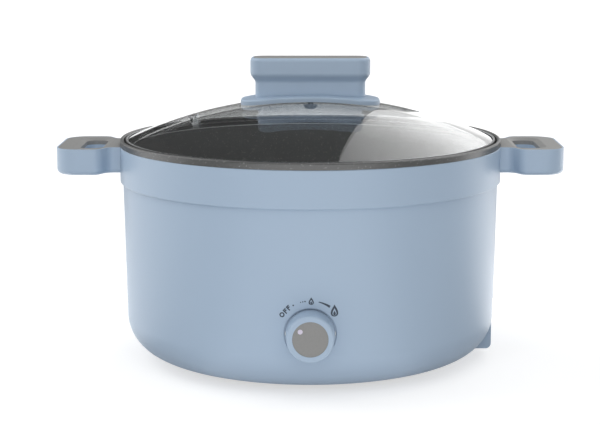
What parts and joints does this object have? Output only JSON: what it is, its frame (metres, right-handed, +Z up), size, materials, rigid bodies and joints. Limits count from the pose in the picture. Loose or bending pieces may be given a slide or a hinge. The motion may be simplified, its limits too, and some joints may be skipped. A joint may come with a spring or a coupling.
{
  "type": "electric hot pot",
  "caption": "Round countertop electric hot pot with cast inner pot, domed glass lift-off lid with handle and steam eyelet, ear handles, front heat knob and rear-entry power inlet.",
  "frame": {"origin": "on the pot's vertical axis, in the plane that its rubber feet stand on", "axes": "+Z up along the pot's axis; the heat knob faces -Y; the ear handles point along -X and +X, and the power inlet faces +X below the right ear"},
  "size_m": [0.3704, 0.2936, 0.223],
  "materials": {
    "blue_plastic": "satin moulded polypropylene, pale grey-blue",
    "grey_plastic": "fine-textured moulded trim, mid grey",
    "black_plastic": "moulded, heat-resistant, black",
    "white_print": "moulded white pointer",
    "coated_aluminium": "die cast, dark speckled non-stick coating",
    "lid_steel": "rolled stainless steel ring",
    "steel": "zinc-plated and stainless fasteners and pressings",
    "element_steel": "stainless element sheath",
    "shield_metal": "aluminised sheet",
    "glass": "clear toughened soda-lime glass",
    "silicone": "moulded silicone",
    "foot_rubber": "moulded rubber",
    "ceramic": "unglazed steatite",
    "brass": "plain and nickel-plated brass",
    "copper": "drawn copper tube and bulb",
    "wire_sleeve": "glass-fibre sleeving"
  },
  "bodies": {
    "base": {"body_shell": "blue_plastic", "collar": "blue_plastic", "handle_left": "blue_plastic", "handle_right": "blue_plastic", "handle_cap_left": "grey_plastic", "handle_cap_right": "grey_plastic", "handle_screws": "steel", "bottom_cover": "black_plastic", "bottom_screws": "steel", "feet": "foot_rubber", "inner_pot": "coated_aluminium", "pot_seal": "silicone", "pot_studs": "steel", "pot_nuts": "steel", "pot_spacers": "ceramic", "heating_element": "element_steel", "element_bushes": "ceramic", "heat_shield": "shield_metal", "inlet_housing": "blue_plastic", "inlet_socket": "black_plastic", "inlet_pins": "brass", "inlet_screws": "steel", "thermostat_bracket": "steel", "thermostat_body": "black_plastic", "thermostat_tabs": "brass", "thermostat_screws": "steel", "sensor_bulb": "copper", "capillary_tube": "copper", "bulb_clip": "steel", "fuse_clip": "steel", "clip_screws": "steel", "thermal_fuse": "ceramic", "wire_live": "wire_sleeve", "wire_neutral": "wire_sleeve", "wire_earth": "wire_sleeve", "wire_fuse": "wire_sleeve", "wire_element": "wire_sleeve"},
    "lid": {"lid_glass": "glass", "lid_rim": "lid_steel", "vent_eyelet": "lid_steel", "lid_handle_pad": "silicone", "lid_handle_base": "blue_plastic", "lid_handle_grip": "blue_plastic", "lid_handle_plate": "grey_plastic", "lid_insert": "brass", "lid_washer": "steel", "lid_screw": "steel"},
    "knob": {"knob": "blue_plastic", "knob_spring": "steel", "knob_disc": "grey_plastic", "knob_pointer": "white_print", "control_shaft": "steel"}
  },
  "joints": [
    {"name": "lid_lift", "type": "slide", "parent": "base", "child": "lid", "axis": [0, 0, 1], "range_m": [0, 0.12]},
    {"name": "knob_turn", "type": "hinge", "parent": "base", "child": "knob", "pos_m": [0, -0.13544, 0.0473], "axis": [0, 1, 0], "range_deg": [0, 100]}
  ]
}
